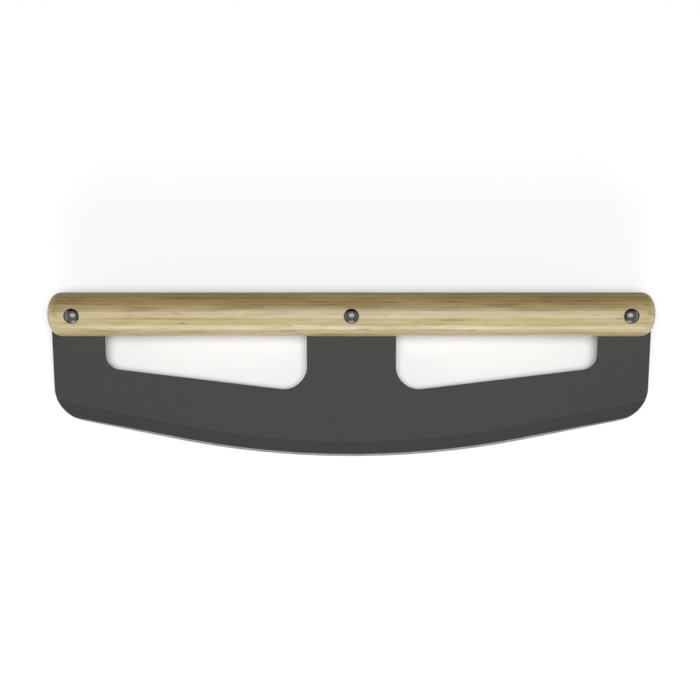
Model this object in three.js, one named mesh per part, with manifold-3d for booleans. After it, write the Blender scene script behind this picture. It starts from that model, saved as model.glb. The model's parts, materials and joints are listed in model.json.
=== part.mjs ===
// A rocker cutter for pizza: one coated steel blade with two hand windows and a ground, curved edge,
// held in the sawn slot of a round wooden handle by three two-piece rivets.
// Millimetres, +Z up. The cutter lies on a table at Z = 0, resting on its handle and the low side of its blade.

import * as THREE from "three";
import { mergeVertices } from "three/addons/utils/BufferGeometryUtils.js";
import Module from "manifold-3d";

const wasm = await Module();
wasm.setup();

// Handle: a round bar with domed ends. A fullness of 2 is an ellipse, and more is blunter.
const handleLength = 358.6;
const handleDiameter = 26;
const handleEndReach = 8.2;
const handleEndFullness = 2.4;

// Blade outline, drawn flat: X runs along the handle, Y towards it, and the handle's axis is Y = 0.
// Its sides stand square to the handle, a little inside the handle's ends.
const bladeThickness = 2;
const bladeEndInset = 1.2;
const bladeDepth = 86.3;
const bladeCornerRadius = 20.3;
const spineHeight = 6;
const spineCornerRadius = 3;

// Cutting edge: an arc with a straight run at each end. A shallow grind thins the plate towards it on both faces,
// and a bevel makes the edge itself. Along the straight runs the bevel's path moves outwards, up to its fade at the
// blade's ends, so the bevel narrows there.
const rockerRadius = 527;
const rockerEndSlope = THREE.MathUtils.degToRad(11.6);
const grindWidth = 9.2;
const grindThickness = 0.7;
const bevelWidth = 1.4;
const bevelFade = 0.45;
const edgeThickness = 0.2;

// Hand windows: the tangs left beside them carry the blade, and their tops are hidden in the handle.
const middleTangWidth = 53.2;
const endTangWidth = 30.9;
const windowTopCover = 4.5;
const windowInnerDepth = 47;
const windowOuterDepth = 32.3;
const windowTopRadius = 3;
const windowInnerRadius = 14.3;
const windowOuterRadius = 8.7;

// Rivets: a sleeve with a domed head from the front, and a pin with a like head pressed in from the back.
// The front heads stand out of the wood on shallow seats, and the back ones are sunk just below it.
const rivetEndDistance = 16.7;
const rivetHeadDiameter = 8.4;
const rivetHeadLip = 1.2;
const rivetHeadRim = 0.5;
const rivetHeadCrown = 1.7;
const frontCrownRise = 1.4;
const backCrownRecess = 0.4;
const sleeveWall = 1;
const sleeveEndWall = 2;
const pinTipGap = 0.8;

// Clearances between fitted pieces.
const slotClearance = 0.25;
const rivetClearance = 0.3;
const seatClearance = 0.25;
const pinClearance = 0.2;

// How finely round forms are divided, and how far a cutting tool runs past what it cuts.
const outlineArcSteps = 16;
const handleSides = 48;
const handleEndSteps = 8;
const rivetSides = 24;
const rivetDomeSteps = 5;
const toolOvershoot = 1;

// Sizes that follow from those above. Levels are measured from the handle's axis.
const handleRadius = handleDiameter / 2;
const bladeHalfLength = handleLength / 2 - bladeEndInset;
const halfBlade = bladeThickness / 2;
const halfGrind = grindThickness / 2;
const halfEdge = edgeThickness / 2;
const windowTopLevel = windowTopCover - handleRadius;
const sleeveDiameter = rivetHeadDiameter - 2 * rivetHeadLip;
const pinDiameter = sleeveDiameter - 2 * (sleeveWall + pinClearance);
const headHeight = rivetHeadRim + rivetHeadCrown;
const frontSeatLevel = handleRadius + frontCrownRise - headHeight;
const backSeatLevel = handleRadius - backCrownRecess - headHeight;
const sleeveFloorLevel = frontSeatLevel - sleeveEndWall;
const endRivetX = handleLength / 2 - rivetEndDistance;
const rivetPlaces = { left: -endRivetX, middle: 0, right: endRivetX };

// Lying down, the cutter tilts until its blade is as low as the underside of its handle. What touches first is
// the cutting edge itself, or a line on the back face where the bevel or the grind starts.
function tiltTouching(depth, halfThickness) {
  return Math.asin(handleRadius / Math.hypot(depth, halfThickness)) - Math.atan2(halfThickness, depth);
}
const restTilt = Math.min(
  tiltTouching(bladeDepth, halfEdge),
  tiltTouching(bladeDepth - bevelWidth, halfGrind),
  tiltTouching(bladeDepth - grindWidth, halfBlade),
);
const restReach = bladeDepth * Math.cos(restTilt) + halfEdge * Math.sin(restTilt);

function solidOf(geometry) {
  const bare = geometry.clone();
  bare.deleteAttribute("normal");
  bare.deleteAttribute("uv");
  const merged = mergeVertices(bare);
  const vertProperties = merged.attributes.position.array;
  const triVerts = Uint32Array.from(merged.index.array);
  return new wasm.Manifold(new wasm.Mesh({ numProp: 3, vertProperties, triVerts }));
}

function cutAway(geometry, tools) {
  const solid = tools.reduce((rest, tool) => rest.subtract(solidOf(tool)), solidOf(geometry));
  const mesh = solid.getMesh();
  const result = new THREE.BufferGeometry();
  result.setAttribute("position", new THREE.BufferAttribute(mesh.vertProperties, 3));
  result.setIndex(new THREE.BufferAttribute(mesh.triVerts, 1));
  result.computeVertexNormals();
  return result;
}

// A closed shape through corners listed anticlockwise, each [x, y, radius] and rounded by its own arc.
function roundedShape(corners) {
  const shape = new THREE.Shape();
  corners.forEach(([x, y, radius], i) => {
    const [lastX, lastY] = corners.at(i - 1);
    const [nextX, nextY] = corners[(i + 1) % corners.length];
    const corner = new THREE.Vector2(x, y);
    const back = new THREE.Vector2(lastX, lastY).sub(corner).normalize();
    const ahead = new THREE.Vector2(nextX, nextY).sub(corner).normalize();
    const halfAngle = Math.acos(back.dot(ahead)) / 2;
    const inward = back.clone().add(ahead).normalize();
    const centre = corner.clone().addScaledVector(inward, radius / Math.sin(halfAngle));
    const setback = radius / Math.tan(halfAngle);
    const start = corner.clone().addScaledVector(back, setback).sub(centre).angle();
    const end = corner.clone().addScaledVector(ahead, setback).sub(centre).angle();
    shape.absarc(centre.x, centre.y, radius, start, end, false);
  });
  shape.closePath();
  return shape;
}

// A closed section carried along a flat path. Its points are [inward, height], anticlockwise seen from the
// path's far end: inward is to the left of the travel, and height is along Z.
function sweepAlong(path, section) {
  const positions = [];
  path.forEach((point, i) => {
    const before = path[Math.max(i - 1, 0)];
    const after = path[Math.min(i + 1, path.length - 1)];
    const travel = after.clone().sub(before).normalize();
    for (const [inward, height] of section) {
      positions.push(point.x - travel.y * inward, point.y + travel.x * inward, height);
    }
  });
  const sides = section.length;
  const lastRing = (path.length - 1) * sides;
  const index = [];
  for (let ring = 0; ring < lastRing; ring += sides) {
    for (let side = 0; side < sides; side++) {
      const next = (side + 1) % sides;
      index.push(ring + side, ring + next, ring + sides + next);
      index.push(ring + side, ring + sides + next, ring + sides + side);
    }
  }
  for (let side = 1; side < sides - 1; side++) {
    index.push(0, side + 1, side);
    index.push(lastRing, lastRing + side, lastRing + side + 1);
  }
  const geometry = new THREE.BufferGeometry();
  geometry.setAttribute("position", new THREE.Float32BufferAttribute(positions, 3));
  geometry.setIndex(index);
  return geometry;
}

// The two straight runs of the cutting edge, carried on, would meet at this height in the middle.
const edgeApex = -bladeDepth - rockerRadius * (1 / Math.cos(rockerEndSlope) - 1);

// Height of a straight run of the cutting edge at a distance from the middle.
function edgeRunAt(x) {
  return edgeApex + Math.abs(x) * Math.tan(rockerEndSlope);
}

function bladeShape() {
  const edgeEnd = edgeRunAt(bladeHalfLength);
  const shape = roundedShape([
    [bladeHalfLength, spineHeight, spineCornerRadius],
    [-bladeHalfLength, spineHeight, spineCornerRadius],
    [-bladeHalfLength, edgeEnd, bladeCornerRadius],
    [0, edgeApex, rockerRadius],
    [bladeHalfLength, edgeEnd, bladeCornerRadius],
  ]);
  shape.holes.push(windowShape(1), windowShape(-1));
  for (const x of Object.values(rivetPlaces)) {
    const hole = new THREE.Path();
    hole.absarc(x, 0, sleeveDiameter / 2 + rivetClearance, 0, 2 * Math.PI, false);
    shape.holes.push(hole);
  }
  return shape;
}

// The hand window on one side, 1 for right and -1 for left.
function windowShape(side) {
  const innerX = middleTangWidth / 2;
  const outerX = bladeHalfLength - endTangWidth;
  const corners = [
    [side * innerX, windowTopLevel, windowTopRadius],
    [side * innerX, -windowInnerDepth, windowInnerRadius],
    [side * outerX, -windowOuterDepth, windowOuterRadius],
    [side * outerX, windowTopLevel, windowTopRadius],
  ];
  return roundedShape(side > 0 ? corners : corners.reverse());
}

// What grinding takes off one face along the edge, down to a slope from a low line to a shoulder. Both lie at a
// [distance from the edge, height]. The cut runs on past the corners, and its ends are moved outwards by a fade.
function grindingCut([lowDistance, lowHeight], [shoulderDistance, shoulderHeight], fade) {
  const arcCentre = rockerRadius - bladeDepth;
  const from = -Math.PI / 2 - rockerEndSlope;
  const to = -Math.PI / 2 + rockerEndSlope;
  const arc = new THREE.EllipseCurve(0, arcCentre, rockerRadius, rockerRadius, from, to);
  const endX = bladeHalfLength + toolOvershoot;
  const endY = edgeRunAt(endX) - fade;
  const path = [
    new THREE.Vector2(-endX, endY),
    ...arc.getPoints(outlineArcSteps),
    new THREE.Vector2(endX, endY),
  ];
  const steepness = (shoulderHeight - lowHeight) / (shoulderDistance - lowDistance);
  const above = shoulderHeight + toolOvershoot * steepness;
  return sweepAlong(path, [
    [-toolOvershoot, lowHeight - (lowDistance + toolOvershoot) * steepness],
    [shoulderDistance + toolOvershoot, above],
    [-toolOvershoot, above],
  ]);
}

// An arc in an extruded shape is drawn with two steps for each curve segment.
function bladeGeometry() {
  const plate = new THREE.ExtrudeGeometry(bladeShape(), {
    depth: bladeThickness,
    bevelEnabled: false,
    curveSegments: outlineArcSteps / 2,
  });
  plate.translate(0, 0, -halfBlade);
  const grindCut = grindingCut([bevelWidth, halfGrind], [grindWidth, halfBlade], 0);
  const bevelCut = grindingCut([0, halfEdge], [bevelWidth, halfGrind], bevelFade);
  const frontCuts = [grindCut, bevelCut];
  const backCuts = frontCuts.map((cut) => cut.clone().rotateY(Math.PI));
  return cutAway(plate, [...frontCuts, ...backCuts]);
}

// A round tool along Z, between two levels.
function drillBetween(x, low, high, diameter) {
  const drill = new THREE.CylinderGeometry(diameter / 2, diameter / 2, high - low, rivetSides);
  return drill.rotateX(Math.PI / 2).translate(x, 0, (low + high) / 2);
}

// The bar is turned about its axis so that one of its edges, not a flat, meets the table.
function handleGeometry() {
  const domeStart = handleLength / 2 - handleEndReach;
  const rightEnd = [];
  for (let step = 0; step <= handleEndSteps; step++) {
    const angle = ((step / handleEndSteps) * Math.PI) / 2;
    const radius = handleRadius * Math.cos(angle) ** (2 / handleEndFullness);
    const reach = handleEndReach * Math.sin(angle) ** (2 / handleEndFullness);
    rightEnd.push(new THREE.Vector2(radius, domeStart + reach));
  }
  const leftEnd = rightEnd.map((point) => new THREE.Vector2(point.x, -point.y)).reverse();
  const bar = new THREE.LatheGeometry([...leftEnd, ...rightEnd], handleSides, -restTilt);
  bar.rotateZ(-Math.PI / 2);

  const slotTop = spineHeight + slotClearance;
  const slotBottom = -handleRadius - toolOvershoot;
  const slotWidth = bladeThickness + 2 * slotClearance;
  const slot = new THREE.BoxGeometry(handleLength + 2 * toolOvershoot, slotTop - slotBottom, slotWidth);
  slot.translate(0, (slotTop + slotBottom) / 2, 0);

  const outside = handleRadius + toolOvershoot;
  const frontRecessFloor = frontSeatLevel - seatClearance;
  const backRecessFloor = backSeatLevel - seatClearance;
  const recessDiameter = rivetHeadDiameter + 2 * rivetClearance;
  const boreDiameter = sleeveDiameter + 2 * rivetClearance;
  const drills = Object.values(rivetPlaces).flatMap((x) => [
    drillBetween(x, -outside, outside, boreDiameter),
    drillBetween(x, frontRecessFloor, outside, recessDiameter),
    drillBetween(x, -outside, -backRecessFloor, recessDiameter),
  ]);
  return cutAway(bar, [slot, ...drills]);
}

// The domed head that sleeve and pin share, as a profile from its seat up to its crown on the axis.
function headProfile(seatLevel) {
  const radius = rivetHeadDiameter / 2;
  const crownLevel = seatLevel + headHeight;
  const domeRadius = (radius ** 2 + rivetHeadCrown ** 2) / (2 * rivetHeadCrown);
  const domeCentre = crownLevel - domeRadius;
  const rimAngle = Math.asin(radius / domeRadius);
  const points = [new THREE.Vector2(radius, seatLevel)];
  for (let step = rivetDomeSteps; step > 0; step--) {
    const angle = (rimAngle * step) / rivetDomeSteps;
    points.push(new THREE.Vector2(domeRadius * Math.sin(angle), domeCentre + domeRadius * Math.cos(angle)));
  }
  points.push(new THREE.Vector2(0, crownLevel));
  return points;
}

function sleeveGeometry() {
  const outer = sleeveDiameter / 2;
  const bore = pinDiameter / 2 + pinClearance;
  const openEnd = seatClearance - backSeatLevel;
  const profile = [
    new THREE.Vector2(0, sleeveFloorLevel),
    new THREE.Vector2(bore, sleeveFloorLevel),
    new THREE.Vector2(bore, openEnd),
    new THREE.Vector2(outer, openEnd),
    new THREE.Vector2(outer, frontSeatLevel),
    ...headProfile(frontSeatLevel),
  ];
  return new THREE.LatheGeometry(profile, rivetSides).rotateX(Math.PI / 2);
}

// The pin has its head on the back, so its profile is turned over after it is spun.
function pinGeometry() {
  const shank = pinDiameter / 2;
  const tip = pinTipGap - sleeveFloorLevel;
  const profile = [
    new THREE.Vector2(0, tip),
    new THREE.Vector2(shank, tip),
    new THREE.Vector2(shank, backSeatLevel),
    ...headProfile(backSeatLevel),
  ];
  return new THREE.LatheGeometry(profile, rivetSides).rotateX(-Math.PI / 2);
}

function coatedSteel() {
  return new THREE.MeshStandardMaterial({ color: 0x4b4b49, roughness: 0.5, metalness: 0.6 });
}

function lacqueredWood() {
  return new THREE.MeshStandardMaterial({ color: 0xc0aa78, roughness: 0.45, metalness: 0 });
}

function darkRivetSteel() {
  return new THREE.MeshStandardMaterial({ color: 0x5a5c60, roughness: 0.25, metalness: 1 });
}

function namedMesh(name, geometry, material) {
  const mesh = new THREE.Mesh(geometry, material);
  mesh.name = name;
  return mesh;
}

// The assembly as drawn, with the blade upright in the plane of X and Y.
const assembly = new THREE.Group();
assembly.add(namedMesh("blade", bladeGeometry(), coatedSteel()));
assembly.add(namedMesh("handle", handleGeometry(), lacqueredWood()));
for (const [place, x] of Object.entries(rivetPlaces)) {
  const sleeve = namedMesh(`rivet_sleeve_${place}`, sleeveGeometry(), darkRivetSteel());
  const pin = namedMesh(`rivet_pin_${place}`, pinGeometry(), darkRivetSteel());
  sleeve.position.x = x;
  pin.position.x = x;
  assembly.add(sleeve, pin);
}

// Laid on the table, with the origin under the middle of its footprint.
assembly.rotation.x = restTilt;
assembly.position.set(0, (restReach - handleRadius) / 2, handleRadius);

const cutter = new THREE.Group();
cutter.add(assembly);

export default cutter;
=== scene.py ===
import json
import math

import bpy
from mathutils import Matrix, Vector


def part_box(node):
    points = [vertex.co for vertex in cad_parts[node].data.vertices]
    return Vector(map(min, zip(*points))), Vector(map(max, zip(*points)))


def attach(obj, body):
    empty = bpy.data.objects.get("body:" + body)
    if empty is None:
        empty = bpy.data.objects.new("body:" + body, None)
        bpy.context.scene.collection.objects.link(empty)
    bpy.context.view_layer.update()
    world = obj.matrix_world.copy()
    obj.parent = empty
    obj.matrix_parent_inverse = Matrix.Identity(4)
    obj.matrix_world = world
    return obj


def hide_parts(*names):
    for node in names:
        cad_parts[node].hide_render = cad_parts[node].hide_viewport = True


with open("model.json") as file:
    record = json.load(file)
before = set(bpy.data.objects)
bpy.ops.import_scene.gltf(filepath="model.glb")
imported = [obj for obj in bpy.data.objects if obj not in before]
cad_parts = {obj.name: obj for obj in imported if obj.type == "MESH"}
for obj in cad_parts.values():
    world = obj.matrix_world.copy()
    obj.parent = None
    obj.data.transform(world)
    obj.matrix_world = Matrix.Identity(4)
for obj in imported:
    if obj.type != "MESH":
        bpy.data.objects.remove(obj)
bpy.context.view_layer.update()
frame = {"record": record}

bpy.context.scene.view_settings.view_transform = "Standard"


# Blade: one plate of 2 mm steel with two hand windows and three rivet holes, ground thinner towards its
# curved edge and coated a dark satin grey. The bevel of the edge is bare, and the spine sits in the handle's
# slot. It is drawn flat, with the handle's axis along X, and then laid down as the cutter lies on a table.
handle_low, handle_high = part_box("handle")
handle_radius = (handle_high.z - handle_low.z) / 2
handle_axis_y = (handle_high.y + handle_low.y) / 2
back_face = frame["record"]["mounts"][0]["axis"]
rest_tilt = math.atan2(back_face[1], -back_face[2])

blade_half_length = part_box("blade")[1].x
blade_depth = 0.0863
blade_thickness = 0.002
blade_corner_radius = 0.0203
spine_height = 0.006
spine_corner_radius = 0.003
rocker_radius = 0.527
rocker_end_slope = math.radians(11.6)
grind_width = 0.0092
grind_thickness = 0.0007
bevel_width = 0.0014
bevel_fade = 0.00045
edge_thickness = 0.0002
middle_tang_width = 0.0532
end_tang_width = 0.0309
window_top_cover = 0.0045
window_inner_depth = 0.047
window_outer_depth = 0.0323
window_top_radius = 0.003
window_inner_radius = 0.0143
window_outer_radius = 0.0087
rivet_spacing = 0.1626
rivet_places = {"left": -rivet_spacing, "middle": 0.0, "right": rivet_spacing}
blade_hole_radius = 0.0033
edge_break = 0.0003
edge_break_steps = 4
edge_break_angle = math.radians(83)
smooth_angle = math.radians(24)
merge_distance = 2e-6
corner_steps = 24
rocker_steps = 72
overshoot = 0.001
coating_dark = (0.031, 0.031, 0.0297)
coating_light = (0.042, 0.042, 0.04)
# The coating on the shallow grind is darker than on the flats, as painted shade along the edge.
shaded_grind_coating_dark = (0.024, 0.024, 0.0232)
shaded_grind_coating_light = (0.033, 0.033, 0.0317)
steel_dark = (0.165, 0.165, 0.162)
steel_light = (0.24, 0.24, 0.236)
noise_range = (0.3, 0.7)


def start_piece(name, place):
    """A new piece in edit mode that is one loose, selected vertex: a small plane merged to its middle."""
    bpy.ops.object.select_all(action="DESELECT")
    bpy.ops.mesh.primitive_plane_add(size=overshoot)
    piece = bpy.context.object
    piece.name = name
    bpy.ops.object.mode_set(mode="EDIT")
    bpy.ops.mesh.merge(type="CENTER")
    bpy.ops.transform.translate(value=place)
    return piece


def draw_by(move):
    """Extrudes what is selected by a move."""
    bpy.ops.mesh.extrude_region_move(TRANSFORM_OT_translate={"value": move})


def turn_about(centre, axis, angle, steps):
    """Extrudes what is selected round a centre, anticlockwise seen against the axis."""
    bpy.ops.mesh.spin(steps=steps, angle=-angle, center=centre, axis=axis)


def rounded_plate(name, corners, thickness):
    """A plate with its middle plane at Z = 0. Its corners are listed anticlockwise, each as (x, y, radius,
    steps of its arc)."""
    arcs = []
    for i, (x, y, radius, steps) in enumerate(corners):
        corner = Vector((x, y, -thickness / 2))
        last = corners[i - 1]
        following = corners[(i + 1) % len(corners)]
        back = (Vector((last[0], last[1], corner.z)) - corner).normalized()
        ahead = (Vector((following[0], following[1], corner.z)) - corner).normalized()
        half_angle = back.angle(ahead) / 2
        setback = radius / math.tan(half_angle)
        centre = corner + (back + ahead).normalized() * radius / math.sin(half_angle)
        turn = math.pi - 2 * half_angle
        arcs.append((corner + back * setback, centre, turn, steps, corner + ahead * setback))
    pen = arcs[0][0]
    plate = start_piece(name, pen)
    for arc_start, centre, angle, steps, arc_end in arcs:
        if arc_start != pen:
            draw_by(arc_start - pen)
        turn_about(centre, (0, 0, 1), angle, steps)
        pen = arc_end
    bpy.ops.mesh.select_all(action="SELECT")
    bpy.ops.mesh.edge_face_add()
    draw_by((0, 0, thickness))
    close_up()
    return plate


def close_up():
    """Merges the seams of the piece in hand and turns its faces outwards."""
    bpy.ops.mesh.select_all(action="SELECT")
    bpy.ops.mesh.remove_doubles(threshold=merge_distance)
    bpy.ops.mesh.normals_make_consistent(inside=False)
    bpy.ops.object.mode_set(mode="OBJECT")


def pick(piece):
    """Selects a piece and nothing else, and makes it the active one."""
    bpy.ops.object.select_all(action="DESELECT")
    piece.select_set(True)
    bpy.context.view_layer.objects.active = piece


def apply_modifier(piece, kind, **settings):
    """Adds a modifier with these settings and applies it."""
    pick(piece)
    bpy.ops.object.modifier_add(type=kind)
    modifier = piece.modifiers[-1]
    for setting, value in settings.items():
        setattr(modifier, setting, value)
    bpy.ops.object.modifier_apply(modifier=modifier.name)


def cut_with(piece, tool):
    """Cuts a tool's shape out of a piece. The cut faces take the tool's material, and the tool is deleted."""
    apply_modifier(
        piece, "BOOLEAN", operation="DIFFERENCE", object=tool, solver="EXACT", material_mode="TRANSFER"
    )
    pick(tool)
    bpy.ops.object.delete()


def lay_down(piece, x=0):
    """Smooths a piece's round faces and lays it as the cutter rests, with its place kept in its mesh."""
    pick(piece)
    bpy.ops.object.shade_smooth_by_angle(angle=smooth_angle)
    apply_modifier(piece, "WEIGHTED_NORMAL", keep_sharp=True)
    piece.rotation_euler = (rest_tilt, 0, 0)
    piece.location = (x, handle_axis_y, handle_radius)
    bpy.ops.object.transform_apply(location=True, rotation=True, scale=True)


def add_node(tree, kind, inputs=None, **settings):
    """A new shader node. Each input is a value, or the socket of another node that feeds it."""
    node = tree.nodes.new("ShaderNode" + kind)
    for setting, value in settings.items():
        setattr(node, setting, value)
    for name, value in (inputs or {}).items():
        if isinstance(value, bpy.types.NodeSocket):
            tree.links.new(value, node.inputs[name])
        else:
            node.inputs[name].default_value = value
    return node


def empty_material(name):
    """A new material without nodes, and its node tree."""
    material = bpy.data.materials.new(name)
    material.use_nodes = True
    material.node_tree.nodes.clear()
    return material, material.node_tree


def new_material(name):
    """An empty material, its node tree, and coordinates that are turned back to how the piece was drawn."""
    material, tree = empty_material(name)
    coordinates = add_node(tree, "TexCoord")
    drawn = add_node(tree, "Mapping", {
        "Vector": coordinates.outputs["Object"],
        "Location": (0, handle_axis_y, handle_radius),
        "Rotation": (rest_tilt, 0, 0),
    }, vector_type="TEXTURE")
    return material, tree, drawn.outputs["Vector"]


def noise(tree, place, stretch, detail=2.0, roughness=0.5):
    """Noise whose features are about one metre over the stretch along each axis."""
    scaled = add_node(tree, "Mapping", {"Vector": place, "Scale": stretch})
    texture = add_node(tree, "TexNoise", {
        "Vector": scaled.outputs["Vector"], "Scale": 1.0, "Detail": detail, "Roughness": roughness,
    })
    return texture.outputs["Fac"]


def ramp(tree, factor, stops, interpolation="LINEAR"):
    """A colour ramp through stops of (place, colour)."""
    node = add_node(tree, "ValToRGB", {"Fac": factor})
    node.color_ramp.interpolation = interpolation
    elements = node.color_ramp.elements
    while len(elements) < len(stops):
        elements.new(0.5)
    for element, (place, colour) in zip(elements, stops):
        element.position = place
        element.color = (*colour, 1.0)
    return node.outputs["Color"]


def spread(tree, factor, to_low, to_high, limits=noise_range):
    """Spreads a factor between its limits, a noise's unless others are given, from one value to another."""
    low, high = limits
    node = add_node(tree, "MapRange", {
        "Value": factor, "From Min": low, "From Max": high, "To Min": to_low, "To Max": to_high,
    })
    return node.outputs["Result"]


def finish_material(tree, shader):
    """Links a shader to the material's surface."""
    add_node(tree, "OutputMaterial", {"Surface": shader.outputs["BSDF"]})


def satin_coating(name, dark, light):
    """The blade's dark grey coating: sprayed and baked, with a very fine orange peel and faint clouds between
    a dark and a light colour."""
    material, tree, place = new_material(name)
    clouds = noise(tree, place, (24, 24, 24), detail=3.0)
    specks = noise(tree, place, (2600, 2600, 2600), detail=2.0, roughness=0.6)
    peel = noise(tree, place, (1300, 1300, 1300), detail=3.0)
    tone = add_node(tree, "Math", {
        0: spread(tree, clouds, -0.06, 0.06), 1: specks,
    }, operation="ADD")
    colour = ramp(tree, tone.outputs[0], [(0.28, dark), (0.72, light)])
    bump = add_node(tree, "Bump", {"Height": peel, "Strength": 0.22, "Distance": 0.0001})
    shader = add_node(tree, "BsdfPrincipled", {
        "Base Color": colour,
        "Roughness": spread(tree, clouds, 0.5, 0.58),
        "Specular IOR Level": 0.13,
        "Normal": bump.outputs["Normal"],
    })
    finish_material(tree, shader)
    return material


def ground_steel():
    """Bare steel of the ground edge, with the wheel's fine scratches running across it."""
    material, tree, place = new_material("ground_steel")
    scratches = noise(tree, place, (9000, 500, 500), detail=2.0, roughness=0.6)
    passes = noise(tree, place, (140, 60, 60), detail=2.0)
    tone = add_node(tree, "Math", {
        0: scratches, 1: spread(tree, passes, -0.1, 0.1),
    }, operation="ADD")
    colour = ramp(tree, tone.outputs[0], [(0.3, steel_dark), (0.7, steel_light)])
    bump = add_node(tree, "Bump", {"Height": scratches, "Strength": 0.3, "Distance": 0.00005})
    shader = add_node(tree, "BsdfPrincipled", {
        "Base Color": colour,
        "Metallic": 1.0,
        "Roughness": spread(tree, passes, 0.36, 0.46),
        "Normal": bump.outputs["Normal"],
    })
    finish_material(tree, shader)
    return material


edge_apex = -blade_depth - rocker_radius * (1 / math.cos(rocker_end_slope) - 1)
edge_end = edge_apex + blade_half_length * math.tan(rocker_end_slope)
blade = rounded_plate("coated_blade", [
    (blade_half_length, spine_height, spine_corner_radius, corner_steps),
    (-blade_half_length, spine_height, spine_corner_radius, corner_steps),
    (-blade_half_length, edge_end, blade_corner_radius, corner_steps),
    (0, edge_apex, rocker_radius, rocker_steps),
    (blade_half_length, edge_end, blade_corner_radius, corner_steps),
], blade_thickness)
coating = satin_coating("satin_coating", coating_dark, coating_light)
blade.data.materials.append(coating)

window_top = window_top_cover - handle_radius
window_inner = middle_tang_width / 2
window_outer = blade_half_length - end_tang_width
for side in (1, -1):
    corners = [
        (side * window_inner, window_top, window_top_radius, corner_steps),
        (side * window_inner, -window_inner_depth, window_inner_radius, corner_steps),
        (side * window_outer, -window_outer_depth, window_outer_radius, corner_steps),
        (side * window_outer, window_top, window_top_radius, corner_steps),
    ]
    punch = rounded_plate("window_punch", corners[::side], 2 * blade_thickness)
    punch.data.materials.append(coating)
    cut_with(blade, punch)
for x in rivet_places.values():
    bpy.ops.object.select_all(action="DESELECT")
    bpy.ops.mesh.primitive_cylinder_add(
        vertices=2 * corner_steps, radius=blade_hole_radius, depth=2 * blade_thickness, location=(x, 0, 0)
    )
    drill = bpy.context.object
    drill.data.materials.append(coating)
    cut_with(blade, drill)

# Grinding takes a wedge off each face along the edge: a shallow one that is coated over, and the bare bevel.
# Both run on past the blade's corners, so they run out there. The bevel's path moves outwards along the
# straight runs, so the bevel narrows.
half_grind = grind_thickness / 2
run_end = blade_half_length + overshoot
run_end_level = edge_end + overshoot * math.tan(rocker_end_slope)
arc_start = Vector((
    -rocker_radius * math.sin(rocker_end_slope),
    rocker_radius * (1 - math.cos(rocker_end_slope)) - blade_depth,
    0,
))
inward = Vector((math.sin(rocker_end_slope), math.cos(rocker_end_slope), 0))


def grind_off(side, low_line, shoulder, fade, material):
    """Grinds the front, 1, or the back, -1, down to a slope from a low line to a shoulder. Both lie at a
    (distance from the edge, height). A fade moves the ends of the cut outwards."""
    rise = (shoulder[1] - low_line[1]) / (shoulder[0] - low_line[0])
    up = Vector((0, 0, side))
    run_start = Vector((-run_end, run_end_level - fade, 0))
    top = up * (shoulder[1] + overshoot * rise)
    outside = run_start - inward * overshoot
    low_corner = outside + up * (low_line[1] - (low_line[0] + overshoot) * rise)
    high_corner = outside + top
    far_corner = run_start + inward * (shoulder[0] + overshoot) + top
    wedge = start_piece("grinding_wedge", low_corner)
    draw_by(far_corner - low_corner)
    draw_by(high_corner - far_corner)
    draw_by(low_corner - high_corner)
    bpy.ops.mesh.select_all(action="SELECT")
    bpy.ops.mesh.remove_doubles(threshold=merge_distance)
    run = arc_start - run_start
    draw_by(run)
    turn_about((0, rocker_radius - blade_depth, 0), (0, 0, 1), 2 * rocker_end_slope, rocker_steps)
    draw_by((run.x, -run.y, 0))
    bpy.ops.mesh.select_all(action="SELECT")
    bpy.ops.mesh.fill_holes(sides=3)
    close_up()
    wedge.data.materials.append(material)
    cut_with(blade, wedge)


# The shallow grind's coating takes these darker colours: painted shade along the edge.
shaded_grind_coating = satin_coating("satin_coating_shaded_on_grind", shaded_grind_coating_dark, shaded_grind_coating_light)
bare_steel = ground_steel()
for side in (1, -1):
    grind_off(side, (bevel_width, half_grind), (grind_width, blade_thickness / 2), 0, shaded_grind_coating)
    grind_off(side, (0, edge_thickness / 2), (bevel_width, half_grind), bevel_fade, bare_steel)
apply_modifier(
    blade, "BEVEL", width=edge_break, segments=edge_break_steps, limit_method="ANGLE",
    angle_limit=edge_break_angle,
)

# The grinds' borders are marked sharp, so they stay crisp when the blade is smoothed.
bpy.ops.object.mode_set(mode="EDIT")
bpy.ops.mesh.select_all(action="DESELECT")
blade.active_material_index = blade.data.materials.find(shaded_grind_coating.name)
bpy.ops.object.material_slot_select()
bpy.ops.mesh.region_to_loop()
bpy.ops.mesh.mark_sharp()
bpy.ops.object.mode_set(mode="OBJECT")
lay_down(blade)
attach(blade, "root")
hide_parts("blade")


# Handle: one round bar of pale straight-grained wood, turned with domed ends and lacquered. A slot is sawn
# into the side towards the blade for its spine, and three holes are drilled through it, with seats for the
# rivet heads.
handle_half_length = 0.17925
dome_reach = 0.0082
dome_fullness = 2.4
dome_steps = 20
handle_sides = 144
handle_rings = 60
slot_clearance = 0.00025
bore_radius = 0.0033
counterbore_radius = 0.0045
front_seat_floor = 0.01195
back_seat_floor = 0.01015
bore_steps = 72
tone_stops = (0.5, 0.66, 0.8, 0.95)
sapwood_tones = ((0.275, 0.205, 0.087), (0.35, 0.278, 0.134), (0.388, 0.315, 0.161), (0.42, 0.352, 0.2))
# The heartwood tones are partly painted shade, and the core colour is painted shade.
heartwood_and_shade_tones = ((0.205, 0.138, 0.049), (0.29, 0.208, 0.082), (0.332, 0.247, 0.104), (0.365, 0.283, 0.13))
core_shade_colour = (0.1, 0.066, 0.022, 1.0)
pore_colour = (0.19, 0.132, 0.054, 1.0)
pore_limits = (0.66, 0.76)

# The tree's pith lies off the handle's axis, on the side away from the blade. Borders are distances from it,
# and those of the heartwood and its core waver a little. The heartwood there is partly the wood's own colour
# and partly painted shade, and its darker core is painted shade.
pith_offset = 0.06
heart_and_shade_border = (0.0595, 0.0645)
core_shade_border = (0.052, 0.058)
coat_border = (0.049, 0.056)
border_waver = 0.008


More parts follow.
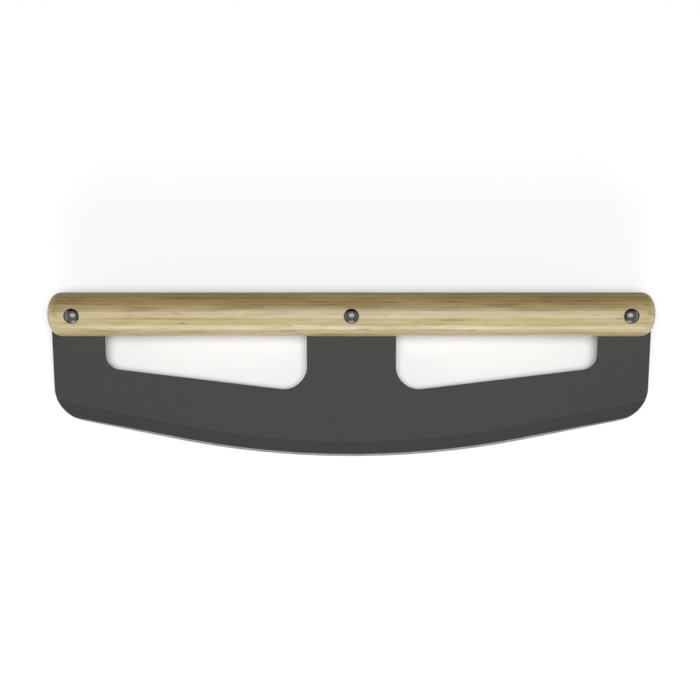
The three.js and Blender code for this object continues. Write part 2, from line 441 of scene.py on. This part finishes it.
def lacquered_wood():
    """Pale brown wood: growth rings drawn out along the bar, soft streaks, fine fibres and short dark pores.
    The side away from the blade is darker heartwood, which is partly the wood's colour and partly painted
    shade. A still darker core there is painted shade. The lacquer over it is satin and a little uneven, and
    sunk slightly along the fibres and pores."""
    material, tree, place = new_material("lacquered_wood")
    to_pith = (0, -pith_offset, 0)
    from_pith = add_node(tree, "Mapping", {"Vector": place, "Location": to_pith, "Scale": (0.03, 1, 1)})
    rings = add_node(tree, "TexWave", {
        "Vector": from_pith.outputs["Vector"], "Scale": 150.0, "Distortion": 7.0, "Detail": 2.0,
        "Detail Scale": 0.55, "Detail Roughness": 0.5,
    }, wave_type="RINGS", rings_direction="X")
    streaks = noise(tree, place, (38, 420, 420), detail=3.0, roughness=0.55)
    clouds = noise(tree, place, (24, 150, 150), detail=2.0)
    fibres = noise(tree, place, (140, 3600, 3600), detail=2.0, roughness=0.6)
    pores = noise(tree, place, (75, 1000, 1000), detail=1.0)
    grain = add_node(tree, "Math", {0: rings.outputs["Fac"], 1: 0.16, 2: -0.13}, operation="MULTIPLY_ADD")
    grain = add_node(tree, "Math", {0: streaks, 1: 0.8, 2: grain.outputs[0]}, operation="MULTIPLY_ADD")
    grain = add_node(tree, "Math", {0: clouds, 1: 0.55, 2: grain.outputs[0]}, operation="MULTIPLY_ADD")
    grain = add_node(tree, "Math", {0: fibres, 1: 0.25, 2: grain.outputs[0]}, operation="MULTIPLY_ADD")
    sapwood = ramp(tree, grain.outputs[0], list(zip(tone_stops, sapwood_tones)))
    heartwood_and_shade = ramp(tree, grain.outputs[0], list(zip(tone_stops, heartwood_and_shade_tones)))
    waver = noise(tree, place, (11, 120, 120), detail=3.0)
    flat_place = add_node(tree, "Mapping", {"Vector": place, "Location": to_pith, "Scale": (0, 1, 1)})
    pith_distance = add_node(tree, "VectorMath", {0: flat_place.outputs["Vector"]}, operation="LENGTH")
    border = add_node(tree, "Math", {
        0: waver, 1: border_waver, 2: pith_distance.outputs["Value"],
    }, operation="MULTIPLY_ADD")
    # Heartwood: partly the wood's own colour, partly painted shade on the side away from the blade.
    heart_and_shade = spread(tree, border.outputs[0], 1.0, 0.0, heart_and_shade_border)
    wood = add_node(tree, "Mix", {"Factor": heart_and_shade, "A": sapwood, "B": heartwood_and_shade}, data_type="RGBA")
    # A darker core: painted shade along the bar's side away from the blade.
    core_shade = spread(tree, border.outputs[0], 0.45, 0.0, core_shade_border)
    wood = add_node(tree, "Mix", {
        "Factor": core_shade, "A": wood.outputs["Result"], "B": core_shade_colour,
    }, data_type="RGBA")
    pore_depth = spread(tree, pores, 0.0, 1.0, pore_limits)
    colour = add_node(tree, "Mix", {
        "Factor": pore_depth, "A": wood.outputs["Result"], "B": pore_colour,
    }, data_type="RGBA")
    relief = add_node(tree, "Math", {0: pore_depth, 1: -0.8, 2: fibres}, operation="MULTIPLY_ADD")
    bump = add_node(tree, "Bump", {"Height": relief.outputs[0], "Strength": 0.18, "Distance": 0.0001})
    shader = add_node(tree, "BsdfPrincipled", {
        "Base Color": colour.outputs["Result"],
        "Roughness": spread(tree, streaks, 0.55, 0.45),
        "Specular IOR Level": 0.2,
        "Coat Weight": spread(tree, pith_distance.outputs["Value"], 0.1, 0.6, coat_border),
        "Coat Roughness": 0.22,
        "Normal": bump.outputs["Normal"],
    })
    finish_material(tree, shader)
    return material


def turn_round(centre, axis, steps):
    """Turns a drawn outline once round an axis and closes the shape up."""
    bpy.ops.mesh.select_all(action="SELECT")
    turn_about(centre, axis, 2 * math.pi, steps)
    close_up()


handle = start_piece("wooden_handle", (-handle_half_length, 0, 0))
pen = Vector((-handle_half_length, 0, 0))
dome = []
for step in range(1, dome_steps + 1):
    angle = step / dome_steps * math.pi / 2
    reach = dome_reach * max(math.cos(angle), 0) ** (2 / dome_fullness)
    dome.append(Vector((
        dome_reach - handle_half_length - reach, 0, handle_radius * math.sin(angle) ** (2 / dome_fullness)
    )))
for point in dome:
    draw_by(point - pen)
    pen = point
bar_step = Vector((2 * (handle_half_length - dome_reach) / handle_rings, 0, 0))
for ring in range(handle_rings):
    draw_by(bar_step)
    pen = pen + bar_step
far_dome = [Vector((-point.x, 0, point.z)) for point in dome[-2::-1]]
for point in far_dome + [Vector((handle_half_length, 0, 0))]:
    draw_by(point - pen)
    pen = point
turn_round((0, 0, 0), (1, 0, 0), handle_sides)

bpy.ops.object.select_all(action="DESELECT")
slot_top = spine_height + slot_clearance
slot_bottom = -handle_radius - overshoot
bpy.ops.mesh.primitive_cube_add(size=1, location=(0, (slot_top + slot_bottom) / 2, 0), scale=(
    2 * (handle_half_length + overshoot), slot_top - slot_bottom, blade_thickness + 2 * slot_clearance
))
saw = bpy.context.object
wood = lacquered_wood()
handle.data.materials.append(wood)
saw.data.materials.append(wood)
cut_with(handle, saw)

drill_reach = handle_radius + overshoot
for x in rivet_places.values():
    drill = start_piece("stepped_drill", (x, 0, -drill_reach))
    draw_by((counterbore_radius, 0, 0))
    draw_by((0, 0, drill_reach - back_seat_floor))
    draw_by((bore_radius - counterbore_radius, 0, 0))
    draw_by((0, 0, back_seat_floor + front_seat_floor))
    draw_by((counterbore_radius - bore_radius, 0, 0))
    draw_by((0, 0, drill_reach - front_seat_floor))
    draw_by((-counterbore_radius, 0, 0))
    turn_round((x, 0, 0), (0, 0, 1), bore_steps)
    drill.data.materials.append(wood)
    cut_with(handle, drill)
lay_down(handle)
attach(handle, "root")
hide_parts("handle")


# Rivet sleeves: the front halves of three press rivets, of darkened steel. Each is a tube closed by a domed
# head. It goes in from the front, through the wood and the blade, and its head stands out of the wood on a
# shallow seat.
head_radius = 0.0043
front_head_seat = 0.0122
head_rim = 0.00048
head_crown = 0.0017
head_edge_round = 0.0001
head_edge_steps = 3
head_edge_angle = math.radians(40)
dome_arc_steps = 14
sleeve_radius = 0.003
sleeve_bore = 0.002
sleeve_floor = 0.0102
sleeve_open_end = -0.01015
rivet_sides = 72
# The rim colour is darker than the crown's: painted shade at the rim of each head.
rim_shade_colour = (0.04, 0.0395, 0.0395)
crown_colour = (0.08, 0.0805, 0.0815)
rim_shade_border = (0.0026, 0.0041)


def darkened_steel():
    """Blackened steel with fine tumbling marks. It is darker towards each head's rim as painted shade for the
    dark ring round the head.
    """
    material, tree, place = new_material("darkened_steel")
    axes = add_node(tree, "SeparateXYZ", {"Vector": place})
    from_axis = add_node(tree, "Math", {
        0: axes.outputs["X"], 1: rivet_spacing / 2, 2: -rivet_spacing / 2,
    }, operation="WRAP")
    around = add_node(tree, "CombineXYZ", {"X": from_axis.outputs[0], "Y": axes.outputs["Y"]})
    radius = add_node(tree, "VectorMath", {0: around.outputs["Vector"]}, operation="LENGTH")
    marks = noise(tree, place, (1500, 1500, 1500), detail=3.0, roughness=0.6)
    # Darker towards each head's rim as painted shade, with the tumbling marks added on top.
    rim_shade_and_marks = add_node(tree, "Math", {
        0: spread(tree, radius.outputs["Value"], 1.0, 0.0, rim_shade_border),
        1: spread(tree, marks, -0.12, 0.12),
    }, operation="ADD")
    colour = ramp(tree, rim_shade_and_marks.outputs[0], [(0.0, rim_shade_colour), (1.0, crown_colour)])
    bump = add_node(tree, "Bump", {"Height": marks, "Strength": 0.12, "Distance": 0.00005})
    shader = add_node(tree, "BsdfPrincipled", {
        "Base Color": colour,
        "Metallic": 1.0,
        "Roughness": spread(tree, marks, 0.2, 0.3),
        "Normal": bump.outputs["Normal"],
    })
    finish_material(tree, shader)
    return material


def draw_head(shank_radius, head_seat):
    """Draws a head's outline from the end of its shank: out along the seat, up the rim, and over the dome."""
    dome_radius = (head_radius ** 2 + head_crown ** 2) / (2 * head_crown)
    rim_angle = math.asin(head_radius / dome_radius)
    crown_level = head_seat + head_rim + head_crown
    draw_by((head_radius - shank_radius, 0, 0))
    draw_by((0, 0, head_rim))
    turn_about((0, 0, crown_level - dome_radius), (0, 1, 0), -rim_angle, dome_arc_steps)


def set_rivets(pattern, look):
    """Rounds the edges of a rivet half and sets a copy of it in each hole, for the nodes named like it."""
    pattern.data.materials.append(rivet_steel)
    apply_modifier(
        pattern, "BEVEL", width=head_edge_round, segments=head_edge_steps, limit_method="ANGLE",
        angle_limit=head_edge_angle,
    )
    for place, x in rivet_places.items():
        pick(pattern)
        bpy.ops.object.duplicate()
        rivet = bpy.context.object
        rivet.name = f"{look}_{place}"
        lay_down(rivet, x)
        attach(rivet, "root")
        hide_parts(f"{pattern.name}_{place}")
    pick(pattern)
    bpy.ops.object.delete()


rivet_steel = darkened_steel()
sleeve = start_piece("rivet_sleeve", (0, 0, sleeve_floor))
draw_by((sleeve_bore, 0, 0))
draw_by((0, 0, sleeve_open_end - sleeve_floor))
draw_by((sleeve_radius - sleeve_bore, 0, 0))
draw_by((0, 0, front_head_seat - sleeve_open_end))
draw_head(sleeve_radius, front_head_seat)
turn_round((0, 0, 0), (0, 0, 1), rivet_sides)
set_rivets(sleeve, "front_rivet")


# Rivet pins: the back halves of the press rivets, of the same darkened steel. Each is a shank with a domed
# head, pressed into its sleeve from the back, and its head is sunk just below the wood.
back_head_seat = 0.0104
pin_radius = 0.0018
pin_tip = -0.0094

pin = start_piece("rivet_pin", (0, 0, pin_tip))
draw_by((pin_radius, 0, 0))
draw_by((0, 0, back_head_seat - pin_tip))
draw_head(pin_radius, back_head_seat)
bpy.ops.mesh.select_all(action="SELECT")
bpy.ops.transform.rotate(value=math.pi, orient_axis="X", center_override=(0, 0, 0))
turn_round((0, 0, 0), (0, 0, 1), rivet_sides)
set_rivets(pin, "back_rivet")


# Floor: a plain white studio table that the cutter lies on. It is white to the camera and in reflections, and
# greyer in the soft light that it throws back at the cutter from below. It keeps the cutter's shadow, and
# away from the cutter it goes over into the white room.
floor_half_size = 4.0
floor_drop = 0.00005
floor_white = (0.92, 0.92, 0.92, 1.0)
floor_bounce = (0.5, 0.5, 0.5, 1.0)
shadow_reach = 0.22
white_reach = 0.5


def seen_directly(tree):
    """1 for rays of the camera, reflections and glass, and 0 for the rest."""
    rays = add_node(tree, "LightPath")
    either = add_node(tree, "Math", {
        0: rays.outputs["Is Camera Ray"], 1: rays.outputs["Is Glossy Ray"],
    }, operation="MAXIMUM")
    either = add_node(tree, "Math", {
        0: either.outputs[0], 1: rays.outputs["Is Transmission Ray"],
    }, operation="MAXIMUM")
    return either.outputs[0]


bpy.ops.object.select_all(action="DESELECT")
bpy.ops.mesh.primitive_plane_add(size=2 * floor_half_size, location=(0, 0, -floor_drop))
floor = bpy.context.object
floor.name = "studio_table"
table_white, tree = empty_material("table_white")
seen = seen_directly(tree)
table_colour = add_node(tree, "Mix", {"Factor": seen, "A": floor_bounce, "B": floor_white}, data_type="RGBA")
matt = add_node(tree, "BsdfDiffuse", {"Color": table_colour.outputs["Result"]})
coordinates = add_node(tree, "TexCoord")
distance = add_node(tree, "VectorMath", {0: coordinates.outputs["Object"]}, operation="LENGTH")
away = spread(tree, distance.outputs["Value"], 0.0, 1.0, (shadow_reach, white_reach))
plain = add_node(tree, "Math", {0: away, 1: seen}, operation="MULTIPLY")
white = add_node(tree, "Emission", {"Strength": 1.0})
table = add_node(tree, "MixShader", {
    0: plain.outputs[0], 1: matt.outputs["BSDF"], 2: white.outputs["Emission"],
})
add_node(tree, "OutputMaterial", {"Surface": table.outputs["Shader"]})
floor.data.materials.append(table_white)


# Light: a large softbox overhead, a long low one from the side of the cutting edge, a weak one at each end,
# and a dim room that is white where the camera or a reflection sees it. A dark card behind the handle keeps
# the upper rims of the rivet heads dark.
room_light = 0.1
overhead_place = (0.04, 0.0, 1.6)
overhead_size = (1.6, 1.2)
overhead_brightness = 5.35
strip_place = (0.0, -1.4586, 0.35)
strip_size = (1.5, 0.56)
strip_brightness = 7.4
fill_distance = 1.2
fill_height = 0.3
fill_size = (0.5, 2.2)
left_fill_brightness = 2.1
right_fill_brightness = 1.6
card_place = (0, 1.4, 0.7)
card_size = (4, 1.4, 1)
card_colour = (0.02, 0.02, 0.02, 1.0)

world = bpy.data.worlds.new("white_room")
bpy.context.scene.world = world
world.use_nodes = True
tree = world.node_tree
tree.nodes.clear()
room = add_node(tree, "MapRange", {"Value": seen_directly(tree), "To Min": room_light, "To Max": 1.0})
room_glow = add_node(tree, "Background", {"Color": (1, 1, 1, 1), "Strength": room.outputs["Result"]})
add_node(tree, "OutputWorld", {"Surface": room_glow.outputs["Background"]})


def softbox(name, place, size, brightness):
    """An oval area light over, before or beside the cutter, turned to face it. Its brightness is a radiance,
    so its power grows with its area."""
    x, y, z = place
    bpy.ops.object.select_all(action="DESELECT")
    bpy.ops.object.light_add(type="AREA", location=place)
    lamp = bpy.context.object
    lamp.name = name
    lamp.rotation_euler = (math.atan2(-y, z), math.atan2(x, z), 0)
    lamp.data.shape = "ELLIPSE"
    lamp.data.size, lamp.data.size_y = size
    area = math.pi / 4 * size[0] * size[1]
    lamp.data.energy = brightness * math.pi * area
    lamp.visible_camera = False


softbox("overhead_softbox", overhead_place, overhead_size, overhead_brightness)
softbox("low_strip", strip_place, strip_size, strip_brightness)
softbox("left_fill", (-fill_distance, 0.0, fill_height), fill_size, left_fill_brightness)
softbox("right_fill", (fill_distance, 0.0, fill_height), fill_size, right_fill_brightness)

bpy.ops.object.select_all(action="DESELECT")
bpy.ops.mesh.primitive_plane_add(size=1, location=card_place, rotation=(math.pi / 2, 0, 0))
card = bpy.context.object
card.name = "dark_card"
card.scale = card_size
card.visible_camera = False
card_black, tree = empty_material("card_black")
finish_material(tree, add_node(tree, "BsdfDiffuse", {"Color": card_colour}))
card.data.materials.append(card_black)


# Camera: straight above the middle of the cutter, about half a metre over the handle, with the frame shifted
# a little so that the cutter sits where it does in the photograph.
camera_height = 0.553
camera_lens = 46.75
sensor_width = 36.0
frame_shift = (-0.002, 0.0361)
nearest_seen = 0.01
bpy.ops.object.camera_add(location=(0, 0, camera_height), rotation=(0, 0, 0))
camera = bpy.context.object
camera.data.lens = camera_lens
camera.data.sensor_width = sensor_width
camera.data.shift_x, camera.data.shift_y = frame_shift
camera.data.clip_start = nearest_seen
bpy.context.scene.camera = camera
